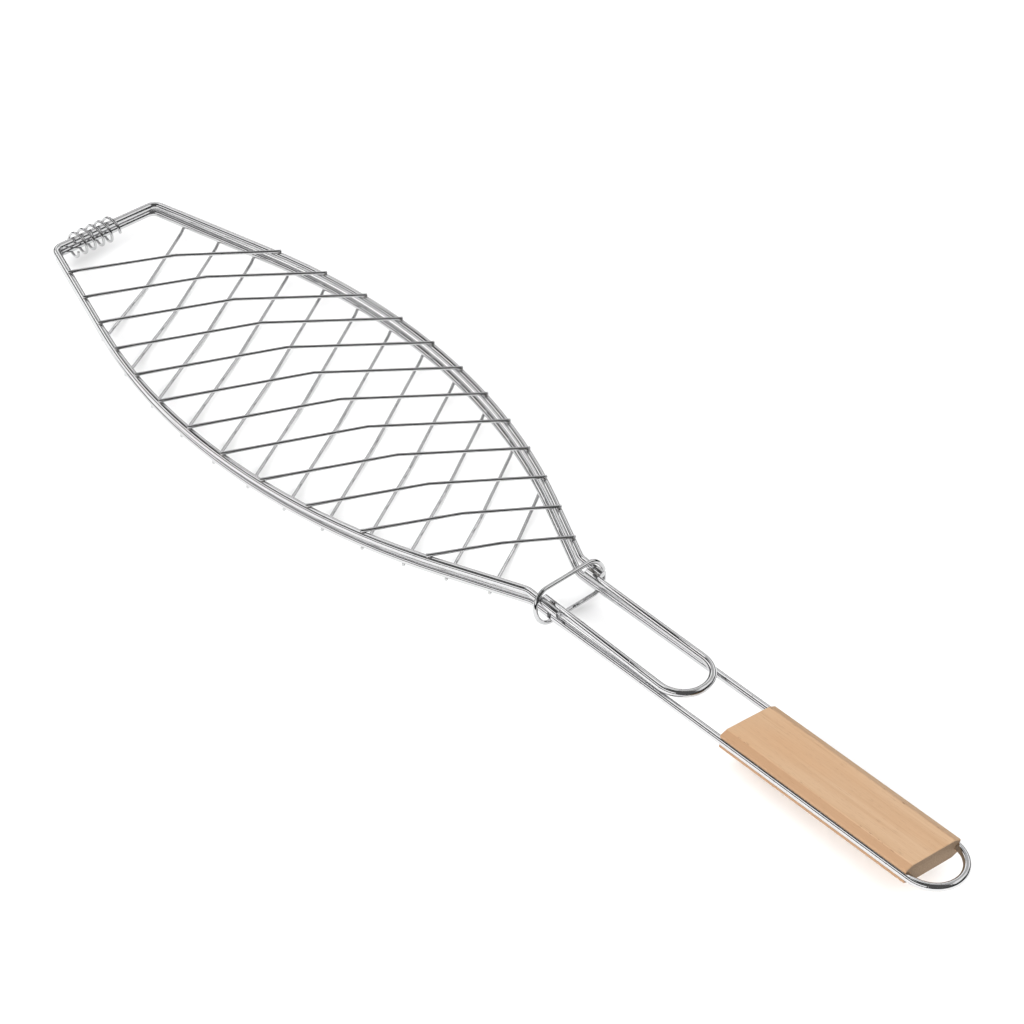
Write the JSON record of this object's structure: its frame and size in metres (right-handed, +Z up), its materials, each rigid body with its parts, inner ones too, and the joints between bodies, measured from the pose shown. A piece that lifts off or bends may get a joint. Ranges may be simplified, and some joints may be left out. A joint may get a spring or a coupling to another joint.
{
  "type": "grill basket",
  "caption": "Hinged wire grill basket with a fish-shaped outline, lattice halves, a sliding lock ring, a wooden grip and a hanging loop.",
  "frame": {"origin": "under the middle of the closed basket's overall length and width, on the surface it lies on", "axes": "+X from the hinge at the tip towards the hanging loop, +Y across the basket, +Z up, out of the lid"},
  "size_m": [0.6087, 0.1452, 0.0262],
  "materials": {
    "frame_wire": "bright plated heavy wire, lightly speckled",
    "cross_wire": "bright plated thin wire",
    "ring_wire": "bright plated wire",
    "coil_wire": "bright plated thin wire",
    "grip_wood": "bare light wood, sanded, straight grain"
  },
  "bodies": {
    "base": {"base_frame": "frame_wire", "handle_grip": "grip_wood", "hinge_coil": "coil_wire", "base_wire_1": "cross_wire", "base_wire_2": "cross_wire", "base_wire_3": "cross_wire", "base_wire_4": "cross_wire", "base_wire_5": "cross_wire", "base_wire_6": "cross_wire", "base_wire_7": "cross_wire", "base_wire_8": "cross_wire", "base_wire_9": "cross_wire", "base_wire_10": "cross_wire", "base_wire_11": "cross_wire", "base_wire_12": "cross_wire"},
    "lid": {"lid_frame": "frame_wire", "lid_loop": "frame_wire", "lid_wire_1": "cross_wire", "lid_wire_2": "cross_wire", "lid_wire_3": "cross_wire", "lid_wire_4": "cross_wire", "lid_wire_5": "cross_wire", "lid_wire_6": "cross_wire", "lid_wire_7": "cross_wire", "lid_wire_8": "cross_wire", "lid_wire_9": "cross_wire", "lid_wire_10": "cross_wire", "lid_wire_11": "cross_wire", "lid_wire_12": "cross_wire"},
    "ring": {"lock_ring": "ring_wire"}
  },
  "joints": [
    {"name": "lid_hinge", "type": "hinge", "parent": "base", "child": "lid", "pos_m": [-0.29922, 0, 0.01275], "axis": [0, -1, 0], "range_deg": [0, 180]},
    {"name": "ring_slide", "type": "slide", "parent": "base", "child": "ring", "axis": [0.9986, 0, 0.0523], "range_m": [0, 0.1]}
  ]
}
